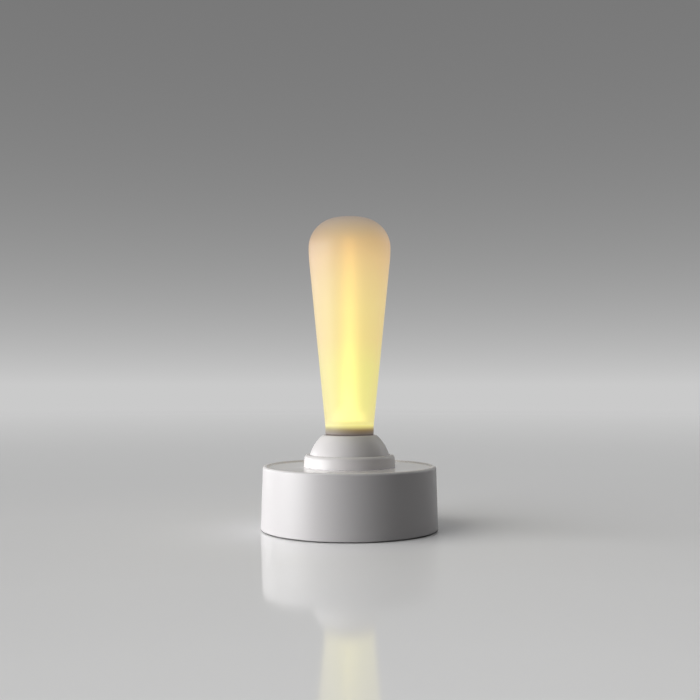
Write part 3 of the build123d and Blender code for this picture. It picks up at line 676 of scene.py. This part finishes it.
def head_outline(inset):
    """The slope of the stick's cone, and its belt, shoulder and crown at a depth under the surface."""
    head_radius = (shade_high.x - shade_low.x) / 2
    crown_centre = shade_high.z - crown_radius
    shoulder_x = head_radius - shoulder_radius
    head_centre = crown_centre + math.sqrt((crown_radius - shoulder_radius) ** 2 - shoulder_x ** 2)
    belt_x = head_radius - belt_radius
    reach_x = neck_radius - belt_x
    reach_z = head_centre - (shade_low.z + neck_band)
    slope = math.atan2(reach_z, reach_x) - math.acos(belt_radius / math.hypot(reach_x, reach_z))
    crown_turn = math.atan2(head_centre - crown_centre, shoulder_x)
    points = []
    for x, z, radius, start, end, steps in (
            (belt_x, head_centre, belt_radius, -slope, 0.0, belt_steps),
            (shoulder_x, head_centre, shoulder_radius, 0.0, crown_turn, shoulder_steps),
            (0.0, crown_centre, crown_radius, crown_turn, math.pi / 2, crown_steps)):
        reach = radius - inset
        for step in range(1 if points else 0, steps + 1):
            angle = start + (end - start) * step / steps
            points.append((x + reach * math.cos(angle), z + reach * math.sin(angle)))
    points[-1] = (0.0, shade_high.z - inset)
    return slope, points


def straight(start, end, steps):
    """Points between two points of an outline, without its ends."""
    return [
        tuple(a + (b - a) * step / steps for a, b in zip(start, end))
        for step in range(1, steps)]


def shade_outline():
    """The stick's neck, outer skin and inner skin, as (radius, height) from its foot and back."""
    band_top = shade_low.z + neck_band
    slope, outer_head = head_outline(0.0)
    inner_head = head_outline(shade_wall)[1]
    neck = [
        (neck_radius - lip_round, shade_low.z),
        (neck_radius - edge_step, shade_low.z + edge_step),
        (neck_radius, shade_low.z + lip_round),
    ]
    neck += straight(neck[-1], (neck_radius, band_top), neck_steps)
    neck.append((neck_radius, band_top - edge_step))
    glow_start = (neck_radius + glow_rise * math.tan(slope), band_top + glow_rise)
    skin = [glow_start] + straight(glow_start, outer_head[0], cone_steps) + outer_head
    neck_inner = neck_radius - shade_wall
    inner_x, inner_z = inner_head[0]
    foot = (neck_inner, inner_z - (inner_x - neck_inner) / math.tan(slope))
    lining = inner_head[::-1] + straight(inner_head[0], foot, cone_steps)
    lining += [foot, (neck_inner, shade_low.z)]
    return neck, skin, lining


def finished_piece(name, made):
    """A smooth object from mesh data that is complete."""
    mesh = bpy.data.meshes.new(name)
    made.to_mesh(mesh)
    made.free()
    mesh.polygons.foreach_set("use_smooth", [True] * len(mesh.polygons))
    piece = bpy.data.objects.new(name, mesh)
    bpy.context.scene.collection.objects.link(piece)
    return piece


def turned_mesh(name, outline, steps=turn_steps, closed=False, looks=()):
    """A smooth mesh turned round the upright axis from an outline of (radius, height).

    looks names a material slot for each run between two points, where there is more than one.
    """
    made = bmesh.new()
    rings = []
    for radius, height in outline:
        if radius < weld_distance:
            rings.append([made.verts.new((0, 0, height))])
            continue
        turns = [2 * math.pi * step / steps for step in range(steps)]
        rings.append([
            made.verts.new((radius * math.cos(turn), radius * math.sin(turn), height))
            for turn in turns])
    pairs = list(zip(rings, rings[1:])) + ([(rings[-1], rings[0])] if closed else [])
    for number, (lower, upper) in enumerate(pairs):
        if len(lower) == len(upper) == 1:
            continue
        for step in range(steps):
            after = (step + 1) % steps
            corners = [lower[step % len(lower)], lower[after % len(lower)],
                       upper[after % len(upper)], upper[step % len(upper)]]
            face = made.faces.new(list(dict.fromkeys(corners)))
            face.material_index = looks[number] if looks else 0
    bmesh.ops.recalc_face_normals(made, faces=made.faces)
    return finished_piece(name, made)


def cut_level(made, height, **sides):
    """Cut mesh data at a height; sides says which side of the cut goes, if any."""
    bmesh.ops.bisect_plane(
        made, geom=made.verts[:] + made.edges[:] + made.faces[:], dist=cut_tolerance,
        plane_co=(0, 0, height), plane_no=(0, 0, 1), **sides)


def bending_piece(node, part, low, high):
    """A node's form between two heights, closed at its cuts."""
    made = bmesh.new()
    made.from_mesh(nodes[node].data)
    bmesh.ops.remove_doubles(made, verts=made.verts, dist=weld_distance)
    for step in range(1, math.ceil((high - low) / bend_step)):
        cut_level(made, low + step * bend_step)
    cut_level(made, low, clear_inner=True)
    cut_level(made, high, clear_outer=True)
    bmesh.ops.holes_fill(made, edges=[edge for edge in made.edges if edge.is_boundary])
    bmesh.ops.recalc_face_normals(made, faces=made.faces)
    piece = finished_piece(f"{node}_{part}", made)
    piece.data.set_sharp_from_angle(angle=math.radians(crease_angle))
    piece.data.materials.append(nodes[node].material_slots[0].material)
    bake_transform(piece)
    return piece


def bending_parts():
    """The wires and the spring in two pieces each, which meet at the height of the pins."""
    for node in bending_nodes:
        low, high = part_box(node)
        lower = bending_piece(node, "lower", low.z - bend_step, pivot_height)
        bending_piece(node, "upper", pivot_height, high.z + bend_step)
        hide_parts(node)


def silicone_stick():
    """The stick in one closed piece, with looks of their own for its neck, skin and lining."""
    neck, skin, lining = shade_outline()
    outline = neck + skin + lining
    looks = [0] * len(neck) + [1] * (len(skin) - 1) + [2] * (len(lining) + 1)
    piece = turned_mesh("silicone_stick", outline, closed=True, looks=looks)
    for look in (neck_silicone(), bpy.data.materials["lit_silicone"], inner_silicone()):
        piece.data.materials.append(look)
    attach(piece, "stick")
    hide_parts("silicone_shade")


def dress_nodes():
    """Give every CAD node the looks of its own, or else those of its slot."""
    shared = {
        "shell_white": glossy_shell(),
        "cover_white": moulded_plastic(
            "cover_white", (0.82, 0.82, 0.81), roughness=0.55, grain_size=0.00035,
            grain_depth=0.000014),
        "silicone_lit": lit_silicone(),
        "inner_nylon": moulded_plastic(
            "inner_nylon", (0.85, 0.84, 0.79), roughness=0.45, grain_size=0.0005,
            grain_depth=0.00001, draw=(1.0, 1.0, 0.3)),
        "pin_steel": drawn_steel(),
        "contact_metal": contact_metal(),
        "foot_rubber": foot_rubber(),
        "led_lit": lit_lamps(),
        "component_black": moulded_black(),
        "button_grey": moulded_plastic(
            "button_grey", (0.30, 0.30, 0.31), roughness=0.55, grain_size=0.0004,
            grain_depth=0.00001),
    }
    own = {node: screw_metal(node) for node in screw_heads}
    for number in range(1, cell_count + 1):
        own[f"battery_cell_{number}"] = cell_sleeve(number)
    own["main_board"] = circuit_board(
        "main_board", lacquer=(0.030, 0.200, 0.080), copper_colour=(0.060, 0.330, 0.120),
        edge_colour=(0.52, 0.50, 0.30), pads=main_board_pads)
    own["led_board"] = circuit_board(
        "led_board", lacquer=(0.88, 0.88, 0.86), copper_colour=(0.80, 0.79, 0.74),
        edge_colour=(0.60, 0.58, 0.45), pads=lamp_board_pads)
    for kind, bare_top in (("battery_lead", False), ("led_wire", True)):
        own[kind + "_red"] = wire_cover(kind + "_red", (0.60, 0.05, 0.04), bare_top)
        own[kind + "_black"] = wire_cover(kind + "_black", (0.045, 0.045, 0.05), bare_top)
    own["light_guide"] = lit_guide()
    for name, node in nodes.items():
        look = own.get(name) or shared[slots[name]]
        for slot in node.material_slots:
            slot.material = look


def light_path_seen(tree):
    """1 for what the camera sees, directly or in glossy or clear things, and 0 for scattered light."""
    path = add_node(tree, "ShaderNodeLightPath")
    seen = calculate(tree, "ADD", path.outputs["Is Camera Ray"], path.outputs["Is Glossy Ray"])
    seen = calculate(tree, "ADD", seen, path.outputs["Is Transmission Ray"])
    return calculate(tree, "MINIMUM", seen, 1.0)


def floor_material():
    """Pale polished table top that melts into the backdrop far behind."""
    material, tree, shader = start_material("pale_floor")
    seen = light_path_seen(tree)
    pale, bounce = (floor_grey,) * 3, (floor_bounce_grey,) * 3
    wire_up(tree, shader, blend_colour(tree, seen, bounce, pale), floor_roughness)
    shader.inputs["IOR"].default_value = floor_ior
    away = vector_math(tree, "LENGTH", object_place(tree), output="Value")
    far = spread(tree, away, 0.0, 1.0, floor_near, floor_far, smooth=True)
    horizon = (horizon_grey,) * 3 + (1.0,)
    haze = add_node(tree, "ShaderNodeEmission", {"Color": horizon, "Strength": seen})
    mixed = add_node(tree, "ShaderNodeMixShader", {
        0: far, 1: shader.outputs["BSDF"], 2: haze.outputs["Emission"]})
    tree.links.new(mixed.outputs["Shader"], tree.nodes["Material Output"].inputs["Surface"])
    return material


def backdrop():
    """A world that fades from a pale horizon to a darker top and lights the object only faintly."""
    world = bpy.data.worlds.new("studio")
    bpy.context.scene.world = world
    world.use_nodes = True
    tree = world.node_tree
    way = add_node(tree, "ShaderNodeTexCoord").outputs["Generated"]
    rise = calculate(tree, "MAXIMUM", axes_of(tree, way)[2], 0.0)
    fade = calculate(tree, "EXPONENT", calculate(tree, "DIVIDE", rise, -backdrop_fade))
    grey = spread(tree, fade, zenith_grey, horizon_grey)
    seen = light_path_seen(tree)
    shown = calculate(tree, "MULTIPLY", grey, seen)
    hidden = calculate(tree, "MULTIPLY", calculate(tree, "SUBTRACT", 1.0, seen), ambient_level)
    tree.links.new(calculate(tree, "ADD", shown, hidden), tree.nodes["Background"].inputs["Color"])


def table_top():
    """A wide floor under a soft light of its own, whose glare doesn't show in it."""
    top = turned_mesh("floor", [(0, 0), (floor_reach, 0)], floor_steps)
    top.location.z = -floor_drop
    top.data.materials.append(floor_material())
    lamp = wide_light("floor_light", floor_light_level, floor_light_azimuth, floor_light_elevation,
                      floor_light_spread)
    lamp.visible_glossy = False
    light_only(lamp, top)
    return top


def aim(azimuth, elevation):
    """The direction towards a light, from its azimuth off the camera's side and its elevation."""
    a, e = math.radians(azimuth), math.radians(elevation)
    return Vector((math.sin(a) * math.cos(e), -math.cos(a) * math.cos(e), math.sin(e)))


def place_lamp(name, lamp, way, distance):
    """Put a lamp out along a direction and turn it back towards the middle of the object."""
    holder = bpy.data.objects.new(name, lamp)
    bpy.context.scene.collection.objects.link(holder)
    middle = Vector((0, 0, (cad_low.z + cad_high.z) / 2))
    holder.location = middle + way * distance
    holder.rotation_mode = "QUATERNION"
    holder.rotation_quaternion = (-way).to_track_quat("-Z", "Y")
    holder.visible_camera = False
    return holder


def soft_light(name, level, azimuth, elevation, distance, width, height):
    """A soft light panel aimed at the object."""
    lamp = bpy.data.lights.new(name, "AREA")
    lamp.shape = "RECTANGLE"
    lamp.size, lamp.size_y = width, height
    lamp.energy = level * math.pi ** 2 * distance ** 2
    return place_lamp(name, lamp, aim(azimuth, elevation), distance)


def wide_light(name, level, azimuth, elevation, spread_angle):
    """A soft light from a wide patch of sky."""
    lamp = bpy.data.lights.new(name, "SUN")
    lamp.energy = level * math.pi
    lamp.angle = math.radians(spread_angle)
    return place_lamp(name, lamp, aim(azimuth, elevation), 1.0)


def light_only(lamp, piece):
    """Keep a light to one piece, as black flags do in a studio."""
    lit = bpy.data.collections.new(lamp.name + "_target")
    lit.objects.link(piece)
    lamp.light_linking.receiver_collection = lit


def keep_off(lamp, piece):
    """Keep a light off one piece, so that its panel doesn't show there as a bright patch."""
    spared = bpy.data.collections.new(lamp.name + "_spared")
    spared.objects.link(piece)
    spared.collection_objects[0].light_linking.link_state = "EXCLUDE"
    lamp.light_linking.receiver_collection = spared


def make_camera():
    """The camera straight in front of the object, at about the height of its middle."""
    lens = bpy.data.cameras.new("camera")
    lens.sensor_width = sensor_width
    lens.lens = lens_length
    lens.clip_start, lens.clip_end = clip_near, clip_far
    camera = bpy.data.objects.new("camera", lens)
    bpy.context.scene.collection.objects.link(camera)
    camera.location = (camera_aside, -camera_distance, camera_height)
    camera.rotation_euler = (math.radians(90 + camera_pitch), 0, 0)
    bpy.context.scene.camera = camera


bpy.context.scene.view_settings.view_transform = "Standard"
dress_nodes()
silicone_stick()
bending_parts()
floor = table_top()
backdrop()
for name, panel in panels.items():
    keep_off(soft_light(name, **panel), floor)
wide_light("top_light", top_level, top_azimuth, top_elevation, top_spread)
make_camera()
